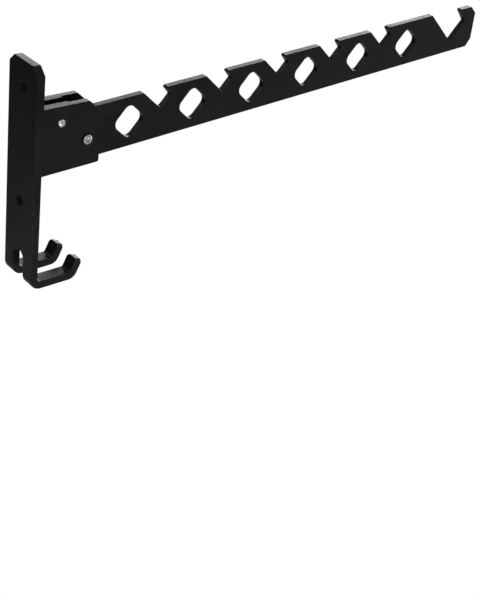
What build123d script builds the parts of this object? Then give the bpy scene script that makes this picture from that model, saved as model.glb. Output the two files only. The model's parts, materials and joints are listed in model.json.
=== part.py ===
"""Folding wall rack: a notched arm on a pivot, carried by a hooked wall plate.

Frame: +X points out from the wall, +Z points up, and Y runs along the wall.
Origin: on the back face of the wall plate, midway between its two screw holes.
Units: millimetres.
"""

import os
from math import asin, atan2, cos, degrees, hypot, radians, sin, sqrt, tan

from build123d import *

# ---------------------------------------------------------------- driving dimensions

# wall plate: one flat bar whose forked foot is bent forward into two hooks
plate_width = 30.0
plate_thickness = 5.2
plate_height = 146.8
plate_corner = 5.0
screw_hole_diameter = 7.0
screw_hole_spacing = 73.0
upper_hole_below_top = 17.0
fork_slot_width = 11.6
fork_slot_below_top = 123.4
foot_bend_inside_radius = 2.5
hook_bend_inside_radius = 1.7
hook_inside_reach = 24.0
hook_rise_angle = 65.0
hook_tip_length = 8.7
hook_tip_corner = 1.8

# clevis: two cheeks on the plate, each lined at the rear by a thin guide
cheek_gap = 8.6
cheek_thickness = 4.2
cheek_reach = 45.1
cheek_top_below_plate_top = 29.1
cheek_height_at_plate = 43.6
cheek_bottom_rise = 1.7
cheek_corner_run = 8.9
cheek_corner_drop = 8.1
cheek_toe_radius = 1.2
pin_hole_chamfer = 0.5
guide_thickness = 1.4
guide_reach = 24.0
weld_leg = 3.2
weld_end_margin = 2.0

# pins and washers
pivot_reach = 41.0
pivot_below_plate_top = 54.0
pivot_diameter = 6.5
pivot_running_clearance = 0.05
stop_pin_back = 18.9
stop_pin_up = 14.1
stop_pin_diameter = 5.0
pin_proud = 0.9
pin_edge_radius = 0.5
rivet_dimple_diameter = 3.9
rivet_dimple_depth = 0.35
washer_diameter = 15.0
washer_thickness = 1.9

# arm: flat plate, raised a little towards its free end
arm_thickness = 4.2
arm_height = 33.5
arm_rise_angle = 3.0
notch_pitch = 50.0
notch_count = 5
first_notch = 46.2
notch_width = 28.3
notch_lip = 18.4
notch_corner_depth = 6.5
end_notch = 311.2
end_notch_width = 51.3
end_notch_lip = 33.1
end_notch_corner_depth = 11.7
end_hook_drop = 1.4
notch_root_radius = 2.6
lip_tip_radius = 0.5
arm_length = 361.3
arm_end_corner = 5.7
arm_toe_run = 4.4
arm_toe_rise = 5.6
window_size = 18.0
window_corner_radius = 5.0
window_before_notch = 10.3
tail_radius = 30.0
tail_gap = 0.15
pin_sweep_gap = 0.3

# ---------------------------------------------------------------- worked-out positions

plate_top = upper_hole_below_top + screw_hole_spacing / 2
plate_bottom = plate_top - plate_height
upper_hole_z = screw_hole_spacing / 2
lower_hole_z = -screw_hole_spacing / 2
fork_slot_centre = plate_top - fork_slot_below_top - fork_slot_width / 2

cheek_inner = cheek_gap / 2
cheek_outer = cheek_inner + cheek_thickness
cheek_top = plate_top - cheek_top_below_plate_top
cheek_bottom = cheek_top - cheek_height_at_plate
cheek_front = plate_thickness + cheek_reach
guide_front = plate_thickness + guide_reach

pivot_x = pivot_reach
pivot_z = plate_top - pivot_below_plate_top
stop_x = pivot_x - stop_pin_back
stop_z = pivot_z + stop_pin_up
pivot_radius = pivot_diameter / 2
stop_radius = stop_pin_diameter / 2
pin_half_length = cheek_outer + pin_proud

# The stop pin as the arm sees it: its distance from the pivot never changes, and its
# angle falls by one degree for each degree that the arm is lifted.
stop_distance = hypot(stop_pin_back, stop_pin_up)
stop_angle = degrees(atan2(stop_pin_up, -stop_pin_back)) - arm_rise_angle
arm_top = arm_height / 2
tail_top = stop_distance * sin(radians(stop_angle)) - stop_radius - tail_gap
pin_sweep_radius = stop_distance - stop_radius - pin_sweep_gap
fold_limit = stop_angle - degrees(asin((arm_top + stop_radius) / stop_distance))

# Planes that the flat pieces are drawn on; each is extruded towards -Y.
arm_tilt = radians(arm_rise_angle)
arm_plane = Plane(
    origin=(pivot_x, arm_thickness / 2, pivot_z),
    x_dir=(cos(arm_tilt), 0, sin(arm_tilt)),
    z_dir=(0, -1, 0),
)


def side_plane(y):
    """The X-Z plane at this Y, facing -Y."""
    return Plane.XZ.offset(-y)


os.makedirs("parts", exist_ok=True)

# ---------------------------------------------------------------- wall plate

# Side view of the bar: down the wall, forward, then up and outwards to the hook tip.
hook_rise = radians(hook_rise_angle)
foot_outside = foot_bend_inside_radius + plate_thickness
hook_outside = hook_bend_inside_radius + plate_thickness
hook_bend_length = hook_bend_inside_radius * tan(hook_rise / 2)
hook_knee_x = plate_thickness + hook_inside_reach
leg_top = plate_bottom + plate_thickness
tip_run = hook_bend_length + hook_tip_length
inner_tip = (hook_knee_x + tip_run * cos(hook_rise), leg_top + tip_run * sin(hook_rise))
outer_tip = (
    inner_tip[0] + plate_thickness * sin(hook_rise),
    inner_tip[1] - plate_thickness * cos(hook_rise),
)
outer_knee_x = hook_knee_x + plate_thickness * tan(hook_rise / 2)

with BuildPart() as wall_plate:
    with BuildSketch(side_plane(plate_width / 2)):
        with BuildLine():
            FilletPolyline(
                (0, plate_top),
                (0, plate_bottom),
                (outer_knee_x, plate_bottom),
                outer_tip,
                inner_tip,
                (hook_knee_x, leg_top),
                (plate_thickness, leg_top),
                (plate_thickness, plate_top),
                radius=[
                    0,
                    foot_outside,
                    hook_outside,
                    0,
                    0,
                    hook_bend_inside_radius,
                    foot_bend_inside_radius,
                    0,
                ],
                close=True,
            )
        make_face()
    extrude(amount=plate_width)
    chamfer(wall_plate.edges().filter_by(Axis.X).group_by(Axis.Z)[-1], plate_corner)
    # the slot that forks the foot: a round top, open at the bottom
    with BuildSketch(Plane.YZ):
        with Locations((0, fork_slot_centre)):
            Circle(fork_slot_width / 2)
            Rectangle(
                fork_slot_width, plate_height, align=(Align.CENTER, Align.MAX)
            )
    extrude(amount=2 * outer_tip[0], mode=Mode.SUBTRACT)
    # the corners of the two hook tips, whose edges run through the bar's thickness
    tip_edge = Axis((0, 0, 0), (sin(hook_rise), 0, -cos(hook_rise)))
    chamfer(wall_plate.edges().filter_by(tip_edge), hook_tip_corner)
    with Locations(
        Location((0, 0, upper_hole_z), (0, 90, 0)),
        Location((0, 0, lower_hole_z), (0, 90, 0)),
    ):
        Hole(screw_hole_diameter / 2)
wall_plate.part.label = "wall_plate"
export_step(wall_plate.part, "parts/wall_plate.step")

# ---------------------------------------------------------------- clevis cheeks

# Side view of a cheek: out along its foot, up its nose, back along its top.
cheek_points = [
    (plate_thickness, cheek_bottom),
    (cheek_front, cheek_bottom + cheek_bottom_rise),
    (cheek_front, cheek_top - cheek_corner_drop),
    (cheek_front - cheek_corner_run, cheek_top),
    (plate_thickness, cheek_top),
]
cheek_radii = [0, cheek_toe_radius, 0, 0, 0]

for side, high_y, outer_end in (("left", -cheek_inner, 0), ("right", cheek_outer, -1)):
    with BuildPart() as cheek:
        with BuildSketch(side_plane(high_y)):
            with BuildLine():
                FilletPolyline(*cheek_points, radius=cheek_radii, close=True)
            make_face()
            with Locations((pivot_x, pivot_z)):
                Circle(pivot_radius, mode=Mode.SUBTRACT)
            with Locations((stop_x, stop_z)):
                Circle(stop_radius, mode=Mode.SUBTRACT)
        extrude(amount=cheek_thickness)
        outer_rims = cheek.edges().filter_by(GeomType.CIRCLE).group_by(Axis.Y)[outer_end]
        pin_rims = outer_rims.filter_by(lambda rim: rim.radius > cheek_toe_radius)
        chamfer(pin_rims, pin_hole_chamfer)
    cheek.part.label = f"cheek_{side}"
    export_step(cheek.part, f"parts/cheek_{side}.step")

# Thin liners inside the cheeks, short of the pivot, that keep the arm's tail central.
for side, high_y in (("left", guide_thickness - cheek_inner), ("right", cheek_inner)):
    with BuildPart() as guide_plate:
        with BuildSketch(side_plane(high_y)):
            with BuildLine():
                FilletPolyline(*cheek_points, radius=cheek_radii, close=True)
            make_face()
            with Locations((guide_front, pivot_z)):
                Rectangle(
                    cheek_reach,
                    plate_height,
                    align=(Align.MIN, Align.CENTER),
                    mode=Mode.SUBTRACT,
                )
            with Locations((stop_x, stop_z)):
                Circle(stop_radius, mode=Mode.SUBTRACT)
        extrude(amount=guide_thickness)
    guide_plate.part.label = f"guide_plate_{side}"
    export_step(guide_plate.part, f"parts/guide_plate_{side}.step")

# Fillet welds down the outside of each cheek, slightly domed.
weld_bottom = cheek_bottom + weld_end_margin
weld_length = cheek_top - weld_end_margin - weld_bottom
weld_bulge = weld_leg * 0.62

with BuildPart() as weld_beads:
    with BuildSketch(Plane.XY.offset(weld_bottom)):
        for side in (-1, 1):
            root = (plate_thickness, side * cheek_outer)
            on_cheek = (plate_thickness + weld_leg, side * cheek_outer)
            crown = (plate_thickness + weld_bulge, side * (cheek_outer + weld_bulge))
            on_plate = (plate_thickness, side * (cheek_outer + weld_leg))
            with BuildLine():
                Line(root, on_cheek)
                ThreePointArc(on_cheek, crown, on_plate)
                Line(on_plate, root)
            make_face()
    extrude(amount=weld_length)
weld_beads.part.label = "weld_beads"
export_step(weld_beads.part, "parts/weld_beads.step")

# ---------------------------------------------------------------- pins and washers

with BuildPart() as stop_pin:
    with BuildSketch(side_plane(pin_half_length)):
        with Locations((stop_x, stop_z)):
            Circle(stop_radius)
    extrude(amount=2 * pin_half_length)
    fillet(stop_pin.edges(), pin_edge_radius)
stop_pin.part.label = "stop_pin"
export_step(stop_pin.part, "parts/stop_pin.step")

# The pivot is a rivet: each end is formed over into a rim around a shallow dimple.
with BuildPart() as pivot_pin:
    with BuildSketch(side_plane(pin_half_length)):
        with Locations((pivot_x, pivot_z)):
            Circle(pivot_radius)
    extrude(amount=2 * pin_half_length)
    fillet(pivot_pin.edges(), pin_edge_radius)
    for dimple_plane in (
        side_plane(pin_half_length),
        side_plane(rivet_dimple_depth - pin_half_length),
    ):
        with BuildSketch(dimple_plane):
            with Locations((pivot_x, pivot_z)):
                Circle(rivet_dimple_diameter / 2)
        extrude(amount=rivet_dimple_depth, mode=Mode.SUBTRACT)
pivot_pin.part.label = "pivot_pin"
export_step(pivot_pin.part, "parts/pivot_pin.step")


# Flat washers on the pivot, one between each cheek and the arm.
for side, high_y in (("left", washer_thickness - cheek_inner), ("right", cheek_inner)):
    with BuildPart() as washer:
        with BuildSketch(side_plane(high_y)):
            with Locations((pivot_x, pivot_z)):
                Circle(washer_diameter / 2)
                Circle(pivot_radius, mode=Mode.SUBTRACT)
        extrude(amount=washer_thickness)
    washer.part.label = f"washer_{side}"
    export_step(washer.part, f"parts/washer_{side}.step")

# ---------------------------------------------------------------- arm


def notch_points(start, width, lip, corner_depth, lip_drop):
    """A notch along the top edge: down to its root, out under its lip, up to the tip."""
    lip_foot_back = 0.7
    lip_foot_drop = 1.2
    return [
        ((start, arm_top), 0.8),
        ((start + width / 2, arm_top - width / 2), notch_root_radius),
        ((start + width - corner_depth, arm_top - corner_depth), 0.8),
        ((start + lip - lip_foot_back, arm_top - lip_drop - lip_foot_drop), lip_tip_radius),
        ((start + lip, arm_top - lip_drop), lip_tip_radius),
    ]


outline = [((-tail_radius, -arm_top), 0), ((-tail_radius, arm_top), 0)]
for index in range(notch_count):
    start = first_notch + notch_pitch * index
    outline += notch_points(start, notch_width, notch_lip, notch_corner_depth, 0)
outline += notch_points(
    end_notch, end_notch_width, end_notch_lip, end_notch_corner_depth, end_hook_drop
)
hook_top = arm_top - end_hook_drop
outline += [
    ((arm_length - arm_end_corner, hook_top), 1.0),
    ((arm_length, hook_top - arm_end_corner), 1.5),
    ((arm_length, arm_toe_rise - arm_top), 1.5),
    ((arm_length - arm_toe_run, -arm_top), 1.0),
]

with BuildPart() as arm:
    with BuildSketch(arm_plane) as arm_profile:
        with BuildLine():
            FilletPolyline(
                [point for point, _ in outline],
                radius=[radius for _, radius in outline],
                close=True,
            )
        make_face()
        Circle(pivot_radius + pivot_running_clearance, mode=Mode.SUBTRACT)
        first_window = first_notch - window_before_notch
        windows = [(first_window + notch_pitch * i, 0) for i in range(notch_count + 1)]
        with Locations(windows):
            RectangleRounded(
                window_size,
                window_size,
                window_corner_radius,
                rotation=45,
                mode=Mode.SUBTRACT,
            )
    extrude(amount=arm_thickness)
    # the tail drops under the stop pin, and a round shoulder clears it as the arm lifts
    with BuildSketch(arm_plane):
        with Locations((0, tail_top)):
            Rectangle(2 * tail_radius, arm_height, align=(Align.MAX, Align.MIN))
        Circle(pin_sweep_radius, mode=Mode.SUBTRACT)
    extrude(amount=arm_thickness, mode=Mode.SUBTRACT)
    # the tail's end is round about the pivot, so it never reaches the plate
    with BuildSketch(arm_plane):
        Rectangle(2 * tail_radius, 2 * arm_height, align=(Align.MAX, Align.CENTER))
        Circle(tail_radius, mode=Mode.SUBTRACT)
    extrude(amount=arm_thickness, mode=Mode.SUBTRACT)
arm.part.label = "arm"
export_step(arm.part, "parts/arm.step")

print(f"pivot ({pivot_x:.2f}, {pivot_z:.2f}), stop pin ({stop_x:.2f}, {stop_z:.2f})")
print(f"arm can lift {fold_limit:.1f} degrees before its top edge meets the stop pin")
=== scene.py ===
# %% [markdown]
# # A folding bicycle wall rack in matt black steel
#
# The design comes in as a fixed frame: every plate, pin and washer already has its size, its
# place and the joint it turns on. Blender's work is the look of it. Cut steel that has been
# powder coated never has a knife edge, its surface has a fine texture, and its pins shine.

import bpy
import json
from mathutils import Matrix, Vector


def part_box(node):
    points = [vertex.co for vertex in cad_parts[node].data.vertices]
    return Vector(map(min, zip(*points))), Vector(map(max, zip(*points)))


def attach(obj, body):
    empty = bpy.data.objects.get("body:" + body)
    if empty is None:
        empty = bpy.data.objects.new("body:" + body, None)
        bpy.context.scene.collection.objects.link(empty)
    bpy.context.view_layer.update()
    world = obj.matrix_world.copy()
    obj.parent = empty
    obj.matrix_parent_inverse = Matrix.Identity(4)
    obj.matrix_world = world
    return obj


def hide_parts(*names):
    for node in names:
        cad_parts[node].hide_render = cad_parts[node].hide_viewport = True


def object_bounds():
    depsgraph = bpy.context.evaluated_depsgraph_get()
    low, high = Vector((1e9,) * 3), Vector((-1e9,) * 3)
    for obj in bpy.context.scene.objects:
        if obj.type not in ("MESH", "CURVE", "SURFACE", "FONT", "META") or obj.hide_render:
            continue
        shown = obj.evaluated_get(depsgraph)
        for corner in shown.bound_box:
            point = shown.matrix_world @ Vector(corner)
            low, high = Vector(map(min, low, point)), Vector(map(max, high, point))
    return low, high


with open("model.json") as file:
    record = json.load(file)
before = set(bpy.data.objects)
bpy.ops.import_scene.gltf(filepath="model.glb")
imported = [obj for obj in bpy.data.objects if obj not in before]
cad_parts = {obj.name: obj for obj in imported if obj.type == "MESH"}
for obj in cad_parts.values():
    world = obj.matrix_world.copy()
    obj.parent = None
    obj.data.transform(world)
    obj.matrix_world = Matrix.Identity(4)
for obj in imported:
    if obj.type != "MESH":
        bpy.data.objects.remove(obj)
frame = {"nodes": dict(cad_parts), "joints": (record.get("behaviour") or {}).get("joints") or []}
cad_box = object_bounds()
print("nodes:", sorted(frame["nodes"]))
print("design's box, mm:", [[round(c * 1000, 1) for c in corner] for corner in cad_box])

# %% Units and shared modules
import json
from math import cos, pi, radians, sin
from random import Random

import bpy
from mathutils import Euler, Vector

MM = 0.001
QUARTER_TURN = radians(90)

# %% [markdown]
# ## Where things are
#
# The places that the pieces share are read from the frame, so they follow the design. The
# hinge's own position is the pivot. The stop pin and the cheeks give theirs by their boxes.

# %% Read the places that several pieces need
HINGE = frame["joints"][0]
PIVOT = Vector(HINGE["pos_m"])


def middle(node):
    """The centre of a design node's box."""
    low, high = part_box(node)
    return (low + high) / 2


STOP = middle("stop_pin")
PLATE_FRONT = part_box("cheek_left")[0].x
CHEEK_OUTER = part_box("cheek_right")[1].y
print("pivot", tuple(PIVOT), "stop pin", tuple(STOP))

# %% [markdown]
# ## Small tools for modelling
#
# Operators act on whatever is selected, and loading leaves the design's nodes selected. So each
# piece starts from an empty selection, and faces and edges are chosen by where they are or
# which way they face.

# %% Selection and finishing helpers
SAME_POINT = 0.002 * MM


def deselect_all():
    """Leave edit mode if need be, and select nothing."""
    if bpy.context.object and bpy.context.object.mode != "OBJECT":
        bpy.ops.object.mode_set(mode="OBJECT")
    for obj in bpy.context.selected_objects:
        obj.select_set(False)


def take(piece):
    """Make a piece the only one selected, and the active one."""
    deselect_all()
    piece.select_set(True)
    bpy.context.view_layer.objects.active = piece
    return piece


def choose_faces(piece, wanted):
    """From edit mode, select just the faces for which wanted(face) is true."""
    bpy.ops.mesh.select_mode(type="FACE")
    bpy.ops.mesh.select_all(action="DESELECT")
    bpy.ops.object.mode_set(mode="OBJECT")
    for face in piece.data.polygons:
        face.select = wanted(face)
    bpy.ops.object.mode_set(mode="EDIT")


def settle(piece):
    """Put a piece's place into its mesh, so that its object sits at the origin."""
    take(piece)
    bpy.ops.object.transform_apply(location=True, rotation=True, scale=True)
    return piece


def report(piece):
    """Print a finished piece's size."""
    size = [round(side / MM, 2) for side in piece.dimensions]
    print(f"{piece.name}: {len(piece.data.polygons)} faces, {size} mm")


# %% [markdown]
# ## Flat plates with real edges
#
# The wall plate, the cheeks, their liners and the arm are cut from bar and sheet. Their outlines
# belong to the design, so each one starts as a copy of its node: loose triangles, merged, and
# dissolved back into whole faces. Drawing the outlines again would only risk a mismatch.
#
# What the design lacks is the edge. Cutting leaves a burr, deburring rounds it, and the powder
# coat rounds it more. A Bevel modifier of a fifth to a half of a millimetre does that, and the
# faces that it makes are marked, so that the paint can be thinner there. Weighted normals then
# keep the broad faces flat to the light.

# %% Copy a node and round its edges
SAME_PLANE = radians(0.5)
SHARP_EDGE = radians(35)
SMOOTH_EDGE = radians(30)
EDGE_SEGMENTS = 3


def plate_from_design(node, name, edge_radius):
    """A copy of a flat design node with every sharp edge rounded, marked in edge_mask."""
    piece = bpy.data.objects.new(name, frame["nodes"][node].data.copy())
    piece.data.name = name
    piece.data.materials.clear()
    bpy.context.scene.collection.objects.link(piece)
    take(piece)
    bpy.ops.object.mode_set(mode="EDIT")
    bpy.ops.mesh.select_all(action="SELECT")
    bpy.ops.mesh.remove_doubles(threshold=SAME_POINT)
    bpy.ops.mesh.dissolve_limited(angle_limit=SAME_PLANE)
    bpy.ops.object.mode_set(mode="OBJECT")
    round_edges(piece, edge_radius)
    return piece


def round_edges(piece, radius):
    """Bevel a piece's sharp edges, mark the new faces, and even out its shading."""
    take(piece)
    broad, edge = 0, 1
    for _ in (broad, edge):
        piece.data.materials.append(None)
    bevel = piece.modifiers.new("rounded_edges", "BEVEL")
    bevel.width = radius
    bevel.segments = EDGE_SEGMENTS
    bevel.limit_method = "ANGLE"
    bevel.angle_limit = SHARP_EDGE
    bevel.material = edge
    bpy.ops.object.modifier_apply(modifier=bevel.name)
    mask = piece.data.attributes.new("edge_mask", "FLOAT", "FACE")
    for face in piece.data.polygons:
        mask.data[face.index].value = float(face.material_index == edge)
        face.material_index = broad
    piece.data.materials.clear()
    bpy.ops.object.shade_smooth_by_angle(angle=SMOOTH_EDGE)
    weighted = piece.modifiers.new("even_shading", "WEIGHTED_NORMAL")
    weighted.keep_sharp = True
    bpy.ops.object.modifier_apply(modifier=weighted.name)


# %% Make the five plates and the arm
PLATE_EDGE = 0.45 * MM
LASER_EDGE = 0.35 * MM
THIN_EDGE = 0.2 * MM

wall_plate = plate_from_design("wall_plate", "wall_plate_bar", PLATE_EDGE)
cheeks = {
    side: plate_from_design(f"cheek_{side}", f"cheek_{side}_plate", LASER_EDGE)
    for side in ("left", "right")
}
guides = {
    side: plate_from_design(f"guide_plate_{side}", f"guide_{side}_liner", THIN_EDGE)
    for side in ("left", "right")
}
arm = plate_from_design("arm", "arm_plate", LASER_EDGE)
for piece in (wall_plate, *cheeks.values(), *guides.values(), arm):
    report(piece)

# %% [markdown]
# ## Inside the screw holes
#
# Powder is drawn to the outside of the steel, and little of it gets into a small hole, where it
# dries rough. So the walls of the two holes are marked on the bar's mesh, as its edges were, and
# the finish can be rough there and nowhere else. They are found by their place: close to the
# bar's middle line, below its top edge and above the slot, and not facing front or back.

# %% Mark the insides of the screw holes
SLOT_BELOW_TOP = 120 * MM
TOP_EDGE = 8 * MM
HOLE_REACH = 4 * MM
FACES_FRONT_OR_BACK = 0.5
plate_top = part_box("wall_plate")[1].z

bore = wall_plate.data.attributes.new("bore_mask", "FLOAT", "FACE")
for face in wall_plate.data.polygons:
    below_top = plate_top - face.center.z
    near_axis = abs(face.center.y) < HOLE_REACH and TOP_EDGE < below_top < SLOT_BELOW_TOP
    bore.data[face.index].value = float(near_axis and abs(face.normal.x) < FACES_FRONT_OR_BACK)
print("hole faces:", sum(int(mark.value) for mark in bore.data))

# %% [markdown]
# ## The stop pin
#
# A plain steel pin, pressed through both cheeks, whose ends stand just proud and are domed. A
# cylinder is turned to lie along Y. Its end faces are inset in rings, and each ring is pushed
# out a little further, along a part of a sphere, with a small chamfer at its foot. A sphere cut
# by booleans would give the same shape with a worse mesh.

# %% Model a pin along Y
PIN_SIDES = 64
LOOKS_ALONG_Y = 0.9
SMOOTH_ROUND = radians(40)


def cylinder_along_y(name, radius, length, place):
    """A cylinder centred on place, with its axis along Y, left in edit mode."""
    deselect_all()
    bpy.ops.mesh.primitive_cylinder_add(
        vertices=PIN_SIDES,
        radius=radius,
        depth=length,
        location=place,
        rotation=(QUARTER_TURN, 0, 0),
    )
    piece = bpy.context.object
    piece.name = piece.data.name = name
    settle(piece)
    bpy.ops.object.mode_set(mode="EDIT")
    return piece


def end_cap(piece, side, place):
    """Select the cap at the +Y or -Y end of a pin: the one face nearest its axis."""
    bpy.context.view_layer.update()
    bpy.ops.object.mode_set(mode="OBJECT")
    caps = [f for f in piece.data.polygons if f.normal.y * side > LOOKS_ALONG_Y]
    axis = Vector((place.x, 0, place.z))
    cap_index = min(
        caps, key=lambda f: (Vector((f.center.x, 0, f.center.z)) - axis).length
    ).index
    bpy.ops.object.mode_set(mode="EDIT")
    choose_faces(piece, lambda face: face.index == cap_index)


def step_in(width, rise, side):
    """Inset the selected cap, then push the new face along the pin."""
    bpy.ops.mesh.inset(thickness=width, depth=0)
    bpy.ops.transform.translate(value=(0, side * rise, 0))


def finish_pin(piece):
    """Leave edit mode with outward faces and smooth sides."""
    bpy.ops.mesh.select_all(action="SELECT")
    bpy.ops.mesh.normals_make_consistent(inside=False)
    bpy.ops.object.mode_set(mode="OBJECT")
    bpy.ops.object.shade_smooth_by_angle(angle=SMOOTH_ROUND)


# %% The stop pin
pin_low, pin_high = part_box("stop_pin")
pin_radius = (pin_high.x - pin_low.x) / 2
pin_length = pin_high.y - pin_low.y

DOME_STEPS = 9
EDGE_SLOPE = radians(34)
CORNER = 0.12 * MM
dome_radius = (pin_radius - CORNER) / sin(EDGE_SLOPE)
dome_rise = dome_radius * (1 - cos(EDGE_SLOPE))

stop_pin = cylinder_along_y(
    "stop_pin_steel", pin_radius, pin_length - 2 * (dome_rise + CORNER), STOP
)
for side in (-1, 1):
    end_cap(stop_pin, side, STOP)
    step_in(CORNER, CORNER, side)
    slopes = [EDGE_SLOPE * (1 - step / DOME_STEPS) for step in range(DOME_STEPS)]
    for before, after in zip(slopes, slopes[1:]):
        step_in(
            dome_radius * (sin(before) - sin(after)),
            dome_radius * (cos(after) - cos(before)),
            side,
        )
finish_pin(stop_pin)
report(stop_pin)

# %% [markdown]
# ## The pivot rivet
#
# The pin that the arm turns on is set like a rivet. A punch spreads its end into a bright
# raised rim and leaves a shallow round dimple in the middle, with a small centre mark. The same
# rings as before make it: out and up for the rim, in and down for the dimple.

# %% The pivot rivet
low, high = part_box("pivot_pin")
rivet_radius = (high.x - low.x) / 2
rivet_length = high.y - low.y

RIM_RISE = 0.5 * MM
RIM_ROUND = 0.5 * MM
DIMPLE_RADIUS = 0.62 * rivet_radius
DIMPLE_DEPTH = 0.42 * MM
RIM_STEPS = 6
# The dimple's floor, then the centre mark's wall and its bottom: how far in each step goes, as
# a share of the dimple's radius, and how far out along the pin, in millimetres.
CENTRE_MARK = ((0.55, 0.06), (0.2, -0.16), (0.12, -0.05))

pivot_pin = cylinder_along_y("pivot_rivet", rivet_radius, rivet_length - 2 * RIM_RISE, PIVOT)
for side in (-1, 1):
    end_cap(pivot_pin, side, PIVOT)
    turns = [step / RIM_STEPS * QUARTER_TURN for step in range(RIM_STEPS + 1)]
    for before, after in zip(turns, turns[1:]):
        step_in(
            RIM_ROUND * (cos(before) - cos(after)),
            RIM_RISE * (sin(after) - sin(before)),
            side,
        )
    inner_round = rivet_radius - RIM_ROUND - DIMPLE_RADIUS
    for before, after in zip(turns, turns[1:]):
        step_in(
            inner_round * (sin(after) - sin(before)),
            -DIMPLE_DEPTH * (cos(before) - cos(after)),
            side,
        )
    for width, rise in CENTRE_MARK:
        step_in(DIMPLE_RADIUS * width, rise * MM, side)
finish_pin(pivot_pin)
report(pivot_pin)

# %% [markdown]
# ## Washers
#
# A stamped washer is tumbled before it is plated, which rounds its edges. Its section is a small
# rectangle with bevelled corners. Spinning that section once round the pivot makes the ring, and
# merging the first turn with the last closes it.

# %% Spin a washer
WASHER_CORNER = 0.3 * MM
CORNER_SEGMENTS = 4
SPIN_STEPS = 96


def washer(side):
    """A washer on the pivot, as wide and thick as the design's."""
    low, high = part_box(f"washer_{side}")
    outer = (high.x - low.x) / 2
    inner = rivet_radius
    deselect_all()
    bpy.ops.mesh.primitive_plane_add(
        size=1,
        location=(PIVOT.x + (inner + outer) / 2, (low.y + high.y) / 2, PIVOT.z),
    )
    piece = bpy.context.object
    piece.name = piece.data.name = f"washer_{side}_ring"
    piece.scale = (outer - inner, high.y - low.y, 1)
    settle(piece)
    bpy.ops.object.mode_set(mode="EDIT")
    bpy.ops.mesh.select_all(action="SELECT")
    bpy.ops.mesh.bevel(offset=WASHER_CORNER, segments=CORNER_SEGMENTS, affect="VERTICES")
    bpy.ops.mesh.spin(steps=SPIN_STEPS, angle=2 * pi, center=PIVOT, axis=(0, 1, 0))
    bpy.ops.mesh.select_all(action="SELECT")
    bpy.ops.mesh.remove_doubles(threshold=SAME_POINT)
    choose_faces(piece, lambda face: len(face.vertices) > 4)
    bpy.ops.mesh.delete(type="ONLY_FACE")
    bpy.ops.mesh.select_all(action="SELECT")
    bpy.ops.mesh.normals_make_consistent(inside=False)
    bpy.ops.object.mode_set(mode="OBJECT")
    bpy.ops.object.shade_smooth_by_angle(angle=SMOOTH_ROUND)
    return piece


washers = {side: washer(side) for side in ("left", "right")}
for piece in washers.values():
    report(piece)

# %% [markdown]
# ## Weld beads
#
# A welder lays a fillet weld as a row of small pools, each one freezing over the edge of the
# last. So the bead is made that way: a row of flattened drops down the corner between cheek and
# plate, each a little different, fused by a voxel remesh and then softened. The halves that
# would lie inside the steel are cut away.

# %% Lay the weld beads
POOL_PITCH = 1.5 * MM
POOL_HEIGHT = 1.9 * MM
POOL_SINK = 0.02 * MM
POOL_LEAN = radians(14)
CORNER_TURN = radians(-45)
WELD_VOXEL = 0.26 * MM
WELD_SMOOTHING = 0.5
WELD_SMOOTH_PASSES = 2
WELD_SMOOTH_EDGE = radians(50)
HIDDEN_DEPTH = 0.4 * MM
WELDER_SEED = 11
weld_low, weld_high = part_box("weld_beads")
weld_leg = weld_high.x - weld_low.x
pool_count = int((weld_high.z - weld_low.z - 2 * POOL_HEIGHT) / POOL_PITCH) + 1
hand = Random(WELDER_SEED)


def weld_bead(side):
    """One rippled bead down the outside of the cheek on this side of the arm."""
    pools = []
    for index in range(pool_count):
        deselect_all()
        spread = weld_leg * hand.uniform(0.9, 0.99)
        bpy.ops.mesh.primitive_uv_sphere_add(
            segments=32,
            ring_count=16,
            radius=1,
            location=(
                PLATE_FRONT - POOL_SINK,
                side * CHEEK_OUTER,
                weld_low.z + POOL_HEIGHT + index * POOL_PITCH,
            ),
            rotation=(0, POOL_LEAN, side * CORNER_TURN),
            scale=(spread, spread, POOL_HEIGHT * hand.uniform(0.9, 1.0)),
        )
        pools.append(bpy.context.object)
    deselect_all()
    for pool in pools:
        pool.select_set(True)
    bpy.context.view_layer.objects.active = pools[0]
    bpy.ops.object.join()
    bead = settle(bpy.context.object)
    remesh = bead.modifiers.new("fused", "REMESH")
    remesh.mode = "VOXEL"
    remesh.voxel_size = WELD_VOXEL
    bpy.ops.object.modifier_apply(modifier=remesh.name)
    soften = bead.modifiers.new("softened", "SMOOTH")
    soften.factor = WELD_SMOOTHING
    soften.iterations = WELD_SMOOTH_PASSES
    bpy.ops.object.modifier_apply(modifier=soften.name)
    trim(bead, (PLATE_FRONT - HIDDEN_DEPTH, 0, 0), (1, 0, 0))
    trim(bead, (0, side * (CHEEK_OUTER - HIDDEN_DEPTH), 0), (0, side, 0))
    return bead


def trim(piece, point, keep_towards):
    """Cut a piece by a plane, keep the side that keep_towards points to, and close the cut."""
    take(piece)
    bpy.ops.object.mode_set(mode="EDIT")
    bpy.ops.mesh.select_all(action="SELECT")
    bpy.ops.mesh.bisect(
        plane_co=point, plane_no=keep_towards, use_fill=True, clear_inner=True
    )
    bpy.ops.object.mode_set(mode="OBJECT")


beads = [weld_bead(side) for side in (-1, 1)]
deselect_all()
for bead in beads:
    bead.select_set(True)
bpy.context.view_layer.objects.active = beads[0]
bpy.ops.object.join()
welds = bpy.context.object
welds.name = welds.data.name = "weld_beads_rippled"
bpy.ops.object.shade_smooth_by_angle(angle=WELD_SMOOTH_EDGE)
report(welds)
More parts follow.
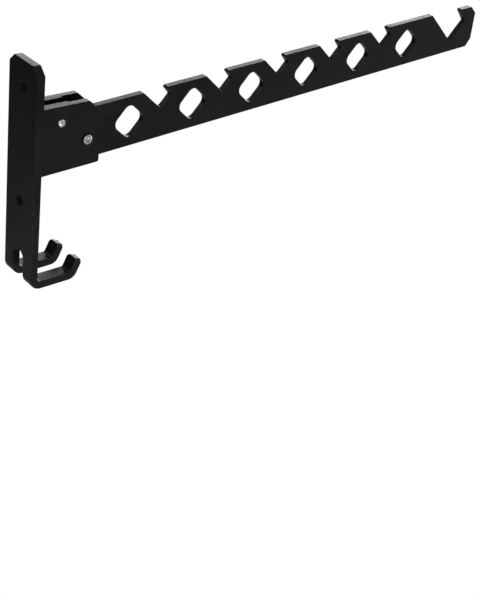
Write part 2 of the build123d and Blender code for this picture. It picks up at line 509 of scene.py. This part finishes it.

# %% [markdown]
# ## Effects that the finishes share
#
# Each effect is a node group with named inputs and outputs, built once and reused with other
# values: the fine orange-peel texture of powder coat, the thin paint along a cut edge, the
# lines a laser leaves on a cut face, dust that has settled on upward faces, the rings that a
# turning tool leaves on the end of a pin, and which faces of a pin look along its axis and stay
# bright, while the rest are painted black as painted shade.


# %% A helper that wires node groups
class Wiring:
    """A short way to add nodes to one tree and join them up."""

    def __init__(self, tree):
        self.tree = tree

    def add(self, kind, **settings):
        node = self.tree.nodes.new(kind)
        for name, value in settings.items():
            setattr(node, name, value)
        return node

    def feed(self, socket, value):
        """Give a socket a value, or a link if the value is another node's output."""
        if isinstance(value, bpy.types.NodeSocket):
            self.tree.links.new(value, socket)
        else:
            socket.default_value = value

    def maths(self, operation, first, second=0.0, clamp=False):
        node = self.add("ShaderNodeMath", operation=operation, use_clamp=clamp)
        self.feed(node.inputs[0], first)
        self.feed(node.inputs[1], second)
        return node.outputs[0]

    def noise(self, vector, scale, detail=2.0, roughness=0.5):
        node = self.add("ShaderNodeTexNoise")
        self.feed(node.inputs["Vector"], vector)
        self.feed(node.inputs["Scale"], scale)
        self.feed(node.inputs["Detail"], detail)
        self.feed(node.inputs["Roughness"], roughness)
        return node.outputs["Fac"]

    def between(self, value, low, high, new_low=0.0, new_high=1.0):
        """Map a value smoothly from low..high to new_low..new_high."""
        node = self.add("ShaderNodeMapRange", interpolation_type="SMOOTHSTEP")
        self.feed(node.inputs["Value"], value)
        self.feed(node.inputs["From Min"], low)
        self.feed(node.inputs["From Max"], high)
        self.feed(node.inputs["To Min"], new_low)
        self.feed(node.inputs["To Max"], new_high)
        return node.outputs["Result"]

    def blend(self, amount, first, second):
        """Mix two colours."""
        node = self.add("ShaderNodeMix", data_type="RGBA")
        self.feed(node.inputs["Factor"], amount)
        self.feed(node.inputs["A"], first)
        self.feed(node.inputs["B"], second)
        return node.outputs["Result"]

    def stretched(self, vector, scale, shift=(0, 0, 0)):
        node = self.add("ShaderNodeMapping")
        self.feed(node.inputs["Vector"], vector)
        node.inputs["Scale"].default_value = scale
        node.inputs["Location"].default_value = shift
        return node.outputs["Vector"]

    def place(self, group, **values):
        """Use a node group, with its inputs given by name."""
        node = self.add("ShaderNodeGroup", node_tree=group)
        for name, value in values.items():
            self.feed(node.inputs[name.replace("_", " ")], value)
        return node.outputs


def effect(name, inputs, outputs):
    """A new node group. inputs are (name, default); a None default makes a vector input."""
    group = bpy.data.node_groups.new(name, "ShaderNodeTree")
    for label, default in inputs:
        kind = "NodeSocketVector" if default is None else "NodeSocketFloat"
        socket = group.interface.new_socket(label, in_out="INPUT", socket_type=kind)
        if default is not None:
            socket.default_value = default
    for label in outputs:
        group.interface.new_socket(label, in_out="OUTPUT", socket_type="NodeSocketFloat")
    wires = Wiring(group)
    given = wires.add("NodeGroupInput").outputs
    result = wires.add("NodeGroupOutput").inputs
    return group, wires, given, result


# %% Powder texture: orange peel with a finer grain on it, clouds, and a few pale flecks
GRAINS_PER_METRE = 1300.0
CLOUDS_PER_METRE = 38.0
FLECKS_PER_METRE = 800.0

powder_texture, w, given, result = effect(
    "powder_texture",
    [("Vector", None), ("Grain Per Metre", GRAINS_PER_METRE)],
    ["Height", "Mottle", "Fleck"],
)
peel = w.noise(given["Vector"], given["Grain Per Metre"], detail=1.0)
fine = w.noise(given["Vector"], w.maths("MULTIPLY", given["Grain Per Metre"], 3.1))
w.feed(
    result["Height"],
    w.maths("ADD", w.maths("MULTIPLY", peel, 0.7), w.maths("MULTIPLY", fine, 0.3)),
)
cloud = w.noise(given["Vector"], CLOUDS_PER_METRE, detail=4.0, roughness=0.6)
w.feed(result["Mottle"], w.between(cloud, 0.3, 0.7))
sparse = w.noise(given["Vector"], FLECKS_PER_METRE, detail=0.0)
w.feed(result["Fleck"], w.between(sparse, 0.80, 0.84))
print("group:", powder_texture.name)

# %% Thin edge: where paint pulls back from a cut edge
PATCHES_PER_METRE = 260.0

thin_edge, w, given, result = effect(
    "thin_edge", [("Vector", None), ("Edge", 0.0), ("Bareness", 0.3)], ["Mask"]
)
patches = w.noise(given["Vector"], PATCHES_PER_METRE, detail=5.0, roughness=0.65)
threshold = w.maths("SUBTRACT", 0.85, w.maths("MULTIPLY", given["Bareness"], 0.6))
shown = w.between(patches, w.maths("SUBTRACT", threshold, 0.12), threshold)
w.feed(result["Mask"], w.maths("MULTIPLY", shown, given["Edge"]))
print("group:", thin_edge.name)

# %% Cut lines: fine ridges across the thickness of a laser-cut face
LINES_PER_METRE = 1000.0
ALONG_THE_CUT = (1.0, 0.02, 1.0)

cut_lines, w, given, result = effect(
    "cut_lines",
    [("Vector", None), ("Facing", None), ("Lines Per Metre", LINES_PER_METRE)],
    ["Height"],
)
lined = w.stretched(given["Vector"], ALONG_THE_CUT)
ridges = w.noise(lined, given["Lines Per Metre"], detail=2.0)
facing = w.add("ShaderNodeSeparateXYZ")
w.feed(facing.inputs[0], given["Facing"])
sideways = w.maths("ABSOLUTE", facing.outputs["Y"])
on_cut = w.between(sideways, 0.2, 0.6, 1.0, 0.0)
w.feed(result["Height"], w.maths("MULTIPLY", ridges, on_cut))
print("group:", cut_lines.name)

# %% Settled dust: specks and a thin film on faces that look up
FILM_PER_METRE = 90.0
SPECKS_PER_METRE = 1900.0

settled_dust, w, given, result = effect(
    "settled_dust", [("Vector", None), ("Facing", None), ("Amount", 0.3)], ["Mask"]
)
facing = w.add("ShaderNodeSeparateXYZ")
w.feed(facing.inputs[0], given["Facing"])
upward = w.between(facing.outputs["Z"], 0.2, 0.95)
haze = w.noise(given["Vector"], FILM_PER_METRE, detail=6.0, roughness=0.7)
film = w.between(haze, 0.35, 0.75)
specks = w.between(w.noise(given["Vector"], SPECKS_PER_METRE, detail=1.0), 0.66, 0.74)
cover = w.maths("ADD", w.maths("MULTIPLY", film, 0.6), specks, clamp=True)
w.feed(
    result["Mask"],
    w.maths("MULTIPLY", w.maths("MULTIPLY", cover, upward), given["Amount"]),
)
print("group:", settled_dust.name)

# %% Turned rings: tool marks round an axis along Y
RINGS_PER_METRE = 3000.0
SMEARS_PER_METRE = 900.0

turned_rings, w, given, result = effect(
    "turned_rings", [("Vector", None), ("Rings Per Metre", RINGS_PER_METRE)], ["Height", "Streak"]
)
split = w.add("ShaderNodeSeparateXYZ")
w.feed(split.inputs[0], given["Vector"])
across = w.add("ShaderNodeCombineXYZ")
w.feed(across.inputs["X"], split.outputs["X"])
w.feed(across.inputs["Z"], split.outputs["Z"])
radius = w.add("ShaderNodeVectorMath", operation="LENGTH")
w.feed(radius.inputs[0], across.outputs[0])
ring_place = w.add("ShaderNodeCombineXYZ")
w.feed(ring_place.inputs["X"], radius.outputs["Value"])
rings = w.noise(ring_place.outputs[0], given["Rings Per Metre"], detail=3.0, roughness=0.7)
w.feed(result["Height"], rings)
smear = w.noise(given["Vector"], SMEARS_PER_METRE, detail=3.0)
w.feed(result["Streak"], w.between(w.maths("MULTIPLY", rings, smear), 0.12, 0.4))
print("group:", turned_rings.name)

# %% End faces: the faces of a pin that look along its axis stay bright steel; the rest get painted shade
axis_facing_ends, w, given, result = effect("axis_facing_ends", [("Facing", None)], ["Mask"])
split = w.add("ShaderNodeSeparateXYZ")
w.feed(split.inputs[0], given["Facing"])
along = w.maths("ABSOLUTE", split.outputs["Y"])
w.feed(result["Mask"], w.between(along, 0.5, 0.78))
print("group:", axis_facing_ends.name)

# %% [markdown]
# ## Powder coat
#
# The finish on the plates, the welds and the arm is a matt black powder coat. Its colour is
# almost nothing: what shows is the light it throws back, so roughness and bump matter most. The
# paint is a little thinner and greyer on the rounded edges, its gloss is mottled by a few
# percent elsewhere, and a few pale flecks and a little dust lie on it. A plain black would show
# none of this, so one function mixes these effects, and each kind of piece gets its own amounts.

# %% The powder coat, with its amounts as values
BLACK = (0.003, 0.003, 0.0032, 1)
GREY_EDGE = (0.022, 0.022, 0.023, 1)
DUST = (0.09, 0.085, 0.08, 1)
DUST_AMOUNT = 0.16
FLECK_PALENESS = 0.5
COAT_SPECULAR = 0.33
MOTTLE_SPREAD = 0.06
DUST_ROUGHNESS = 0.3
EDGE_POLISH = 0.05


def new_material(name):
    """A material with a Principled shader, and the wiring to build on it."""
    material = bpy.data.materials.new(name)
    material.use_nodes = True
    material.node_tree.nodes.clear()
    wires = Wiring(material.node_tree)
    shader = wires.add("ShaderNodeBsdfPrincipled")
    output = wires.add("ShaderNodeOutputMaterial")
    wires.feed(output.inputs["Surface"], shader.outputs["BSDF"])
    return material, wires, shader


def powder_coat(
    name, gloss=0.36, bareness=0.3, lines=0.0, grain_depth=0.025 * MM, bores=False
):
    """Matt black powder coat. gloss is its roughness, and lines is how deep cut lines show."""
    material, w, shader = new_material(name)
    where = w.add("ShaderNodeTexCoord").outputs
    place, facing = where["Object"], where["Normal"]
    edge = w.add("ShaderNodeAttribute", attribute_name="edge_mask").outputs["Fac"]

    shader.inputs["Specular IOR Level"].default_value = COAT_SPECULAR
    grain = w.place(powder_texture, Vector=place)
    worn = w.place(thin_edge, Vector=place, Edge=edge, Bareness=bareness)["Mask"]
    dust = w.place(settled_dust, Vector=place, Facing=facing, Amount=DUST_AMOUNT)["Mask"]

    flecks = w.maths("MULTIPLY", grain["Fleck"], FLECK_PALENESS)
    paint = w.blend(w.maths("MAXIMUM", worn, flecks), BLACK, GREY_EDGE)
    w.feed(shader.inputs["Base Color"], w.blend(dust, paint, DUST))

    glossiest, dullest = gloss - MOTTLE_SPREAD, gloss + MOTTLE_SPREAD
    rough = w.between(grain["Mottle"], 0.0, 1.0, glossiest, dullest)
    rough = w.maths("ADD", rough, w.maths("MULTIPLY", dust, DUST_ROUGHNESS))
    rough = w.maths("SUBTRACT", rough, w.maths("MULTIPLY", edge, EDGE_POLISH))
    if bores:
        bore = w.add("ShaderNodeAttribute", attribute_name="bore_mask").outputs["Fac"]
        rough = w.maths("MAXIMUM", rough, bore)
    w.feed(shader.inputs["Roughness"], rough)

    bump = w.add("ShaderNodeBump")
    bump.inputs["Strength"].default_value = 1.0
    bump.inputs["Distance"].default_value = grain_depth
    height = grain["Height"]
    if lines:
        cut = w.place(cut_lines, Vector=place, Facing=facing)["Height"]
        height = w.maths("ADD", height, w.maths("MULTIPLY", cut, lines))
    w.feed(bump.inputs["Height"], height)
    w.feed(shader.inputs["Normal"], bump.outputs["Normal"])
    return material


coat_on_bar = powder_coat("powder_coat_bar", bores=True)
coat_on_plate = powder_coat("powder_coat_plate", lines=1.6)
coat_on_arm = powder_coat("powder_coat_arm", bareness=0.45, lines=4.0)
coat_on_weld = powder_coat("powder_coat_weld", gloss=0.34, grain_depth=0.02 * MM)
for coat in (coat_on_bar, coat_on_plate, coat_on_arm, coat_on_weld):
    print("finish:", coat.name, len(coat.node_tree.nodes), "nodes")

# %% [markdown]
# ## Bright steel
#
# The pins are turned, and their ends are bright steel. Their sides and the outer part of each
# end's rounded rim are painted black, as painted shade: this gives the dark ring of shadow and
# dark reflection round a bright disc. The ends keep the rings of the tool, centred on each pin's
# own axis, so each pin has its own material with the rings moved to its middle. The washers are
# stamped and plated, with a duller, cloudier skin.

# %% The steel finishes
RING_DEPTH = 0.006 * MM
DARKER = 0.72
CLOUD_TINT = 0.35
CLOUD_ROUGHNESS = 0.06
STREAK_ROUGHNESS = 0.12


def bright_steel(name, axis, colour, roughness, painted_shade_sides=False):
    """Bright steel with turning rings about an axis along Y through this point. Its sides can be
    painted black, as painted shade round the bright end.
    """
    material, w, shader = new_material(name)
    where = w.add("ShaderNodeTexCoord").outputs
    place = where["Object"]
    centred = w.stretched(place, (1, 1, 1), shift=tuple(-axis))
    rings = w.place(turned_rings, Vector=centred)
    cloud = w.place(powder_texture, Vector=place)["Mottle"]

    dark = tuple(channel * DARKER for channel in colour[:3]) + (1,)
    tint = w.blend(w.maths("MULTIPLY", cloud, CLOUD_TINT), colour, dark)
    metal = w.blend(rings["Streak"], dark, tint)
    # painted shade: faces that don't look along the axis, which are the pin's sides and the outer
    # part of its rounded rim, are painted black for the dark ring of shadow and dark reflection
    # round each bright end
    if painted_shade_sides:
        steel_end = w.place(axis_facing_ends, Facing=where["Normal"])["Mask"]
        w.feed(shader.inputs["Base Color"], w.blend(steel_end, BLACK, metal))
        w.feed(shader.inputs["Metallic"], steel_end)
    else:
        w.feed(shader.inputs["Base Color"], metal)
        shader.inputs["Metallic"].default_value = 1.0
    rough = w.between(rings["Streak"], 0.0, 1.0, roughness + STREAK_ROUGHNESS, roughness)
    clouded = w.maths("MULTIPLY", cloud, CLOUD_ROUGHNESS)
    w.feed(shader.inputs["Roughness"], w.maths("ADD", rough, clouded))
    bump = w.add("ShaderNodeBump")
    bump.inputs["Strength"].default_value = 1.0
    bump.inputs["Distance"].default_value = RING_DEPTH
    w.feed(bump.inputs["Height"], rings["Height"])
    w.feed(shader.inputs["Normal"], bump.outputs["Normal"])
    return material


BRIGHT_PLATE = (0.9, 0.9, 0.89, 1)
DULL_PLATE = (0.52, 0.52, 0.50, 1)
stop_steel = bright_steel(
    "bright_steel_stop_pin", STOP, BRIGHT_PLATE, roughness=0.3, painted_shade_sides=True
)
rivet_steel = bright_steel(
    "bright_steel_rivet", PIVOT, BRIGHT_PLATE, roughness=0.22, painted_shade_sides=True
)
washer_steel = bright_steel("washer_steel", PIVOT, DULL_PLATE, roughness=0.38)
for steel in (stop_steel, rivet_steel, washer_steel):
    print("finish:", steel.name, len(steel.node_tree.nodes), "nodes")

# %% [markdown]
# ## Putting the pieces in place of the design's
#
# Each piece takes its finish, rides on the body that carries
# it, and stands for its design node. Only the arm moves: everything else is on the bracket.


# %% How a piece is handed over to the frame
def hand_over(piece, material, body, node):
    """Finish a piece: its material, its body, and the node it stands for."""
    piece.data.materials.clear()
    piece.data.materials.append(material)
    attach(piece, body)
    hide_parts(node)
    print(piece.name, "stands for", node, "on", body)


# %% Hand every piece over
hand_over(wall_plate, coat_on_bar, "bracket", "wall_plate")
hand_over(welds, coat_on_weld, "bracket", "weld_beads")
hand_over(stop_pin, stop_steel, "bracket", "stop_pin")
hand_over(pivot_pin, rivet_steel, "bracket", "pivot_pin")
hand_over(arm, coat_on_arm, "arm", "arm")
for side in ("left", "right"):
    hand_over(cheeks[side], coat_on_plate, "bracket", f"cheek_{side}")
    hand_over(guides[side], coat_on_plate, "bracket", f"guide_plate_{side}")
    hand_over(washers[side], washer_steel, "bracket", f"washer_{side}")

# %% [markdown]
# ## The studio
#
# Matt black shows light only by reflection, so the studio is set for what each face reflects.
# A wide soft box across the rack from the camera, low and narrow from top to bottom, lies in the
# upward faces and turns them pale grey. A small card low on the camera's side lights the pins'
# ends, and weaker boxes draw the edges that other views show. What the upright faces reflect is
# the room, which is dim, so they stay black.
#
# The floor is a white sheet that glows by itself. It is only seen: it takes no part in the
# reflections, and light from below goes through it.

# %% The floor
FLOOR_DROP = 0.42
FLOOR_SIZE = 14

deselect_all()
bpy.ops.mesh.primitive_plane_add(size=FLOOR_SIZE, location=(0, 0, cad_box[0].z - FLOOR_DROP))
floor = bpy.context.object
floor.name = "studio_floor"
paper, w, shader = new_material("pale_paper")
shader.inputs["Base Color"].default_value = (0, 0, 0, 1)
shader.inputs["Roughness"].default_value = 1.0
shader.inputs["Specular IOR Level"].default_value = 0.0
shader.inputs["Emission Color"].default_value = (1, 1, 1, 1)
shader.inputs["Emission Strength"].default_value = 1.0
floor.data.materials.append(paper)
floor.visible_glossy = False
floor.visible_diffuse = False
floor.visible_shadow = False
print("floor", round(FLOOR_DROP / MM), "mm below the rack")

# %% [markdown]
# ## The room's own light
#
# A face that looks one way reflects one part of the room, so the room's strength is worked out
# from direction. It is a dim grey, a little brighter overhead, on the side where the camera is,
# far out along the arm, and below on the other sides. Soft steps between these keep any
# boundary from showing in the steel. The camera itself sees plain white in their place.

# %% The light all round, by direction
ROOM_DIM = 0.045
ROOM_BELOW = 0.29
ROOM_OUTWARD = 0.25
ROOM_ABOVE = 0.16
ROOM_NEAR = 0.13
WHITE = (1, 1, 1, 1)

world = bpy.data.worlds.new("studio")
bpy.context.scene.world = world
world.use_nodes = True
world.node_tree.nodes.clear()
w = Wiring(world.node_tree)
direction = w.add("ShaderNodeSeparateXYZ")
w.feed(direction.inputs[0], w.add("ShaderNodeTexCoord").outputs["Generated"])
room = w.add("ShaderNodeBackground")
below = w.between(direction.outputs["Z"], -0.6, -0.38, ROOM_BELOW, 0.0)
sideways = w.maths("MAXIMUM", direction.outputs["X"], direction.outputs["Y"])
below = w.maths("MULTIPLY", below, w.between(sideways, 0.0, 0.35))
near = w.between(sideways, 0.0, 0.35, ROOM_NEAR, 0.0)
outward = w.between(direction.outputs["X"], 0.42, 0.72, 0.0, ROOM_OUTWARD)
above = w.between(direction.outputs["Z"], 0.0, 0.4, ROOM_DIM, ROOM_ABOVE)
level = w.maths("ADD", w.maths("ADD", below, near), w.maths("ADD", outward, above))
w.feed(room.inputs["Strength"], level)
seen = w.add("ShaderNodeBackground")
seen.inputs["Strength"].default_value = 1.0
seen.inputs["Color"].default_value = WHITE
room.inputs["Color"].default_value = WHITE
choice = w.add("ShaderNodeMixShader")
w.feed(choice.inputs["Fac"], w.add("ShaderNodeLightPath").outputs["Is Camera Ray"])
w.feed(choice.inputs[1], room.outputs[0])
w.feed(choice.inputs[2], seen.outputs[0])
w.feed(w.add("ShaderNodeOutputWorld").inputs["Surface"], choice.outputs[0])
print("room:", len(world.node_tree.nodes), "nodes")


# %% Soft boxes
def soft_box(name, place, aim, width, height, radiance):
    """A rectangular area light that faces its aim. Radiance is how bright its face looks."""
    lamp = bpy.data.lights.new(name, "AREA")
    lamp.shape = "RECTANGLE"
    lamp.size = width
    lamp.size_y = height
    lamp.energy = radiance * pi * width * height
    box = bpy.data.objects.new(name, lamp)
    bpy.context.scene.collection.objects.link(box)
    box.location = place
    box.rotation_euler = (Vector(aim) - Vector(place)).to_track_quat("-Z", "Y").to_euler()
    return box


BACK_DISTANCE = 1.7
centre = (cad_box[0] + cad_box[1]) / 2
back_direction = Vector((0.69, 0.70, 0.195)).normalized()
# Each one's place from the rack's centre, its width and height, and its radiance.
BOXES = {
    "back_box": (back_direction * BACK_DISTANCE, 1.8, 0.66, 6.2),
    "front_box": (Vector((-1.2, -1.4, 0.6)), 1.5, 0.8, 2.6),
    "left_box": (Vector((-0.85, 0.98, 1.0)), 0.9, 0.5, 0.8),
    "right_box": (Vector((1.3, -1.3, 0.4)), 1.2, 0.5, 1.3),
    "low_card": (Vector((-0.14, -1.6, -1.0)), 0.6, 0.5, 6.0),
}
for name, (offset, width, height, radiance) in BOXES.items():
    box = soft_box(name, centre + offset, centre, width, height, radiance)
    print(f"{box.name}: {box.data.energy:.2f} W, {offset.length:.2f} m away")

# %% [markdown]
# ## The camera
#
# It stands above the rack, to one side of it and behind the plane of the wall, so that it looks
# down on the top edges and sees the wall plate's back. A long lens keeps the arm's taper gentle,
# and a slight roll lets the plate stand upright in the picture.

# %% The camera
camera_data = bpy.data.cameras.new("camera")
camera_data.lens = 73.75
camera_data.sensor_width = 36
camera = bpy.data.objects.new("camera", camera_data)
bpy.context.scene.collection.objects.link(camera)
camera.location = Vector((-355.5, -559.3, 324.5)) * MM
camera.rotation_euler = Euler((radians(57.50), radians(-7.01), radians(-40.20)))
bpy.context.scene.camera = camera
bpy.context.scene.view_settings.view_transform = "Standard"
print("camera", round((camera.location - centre).length / MM), "mm from the rack's centre")
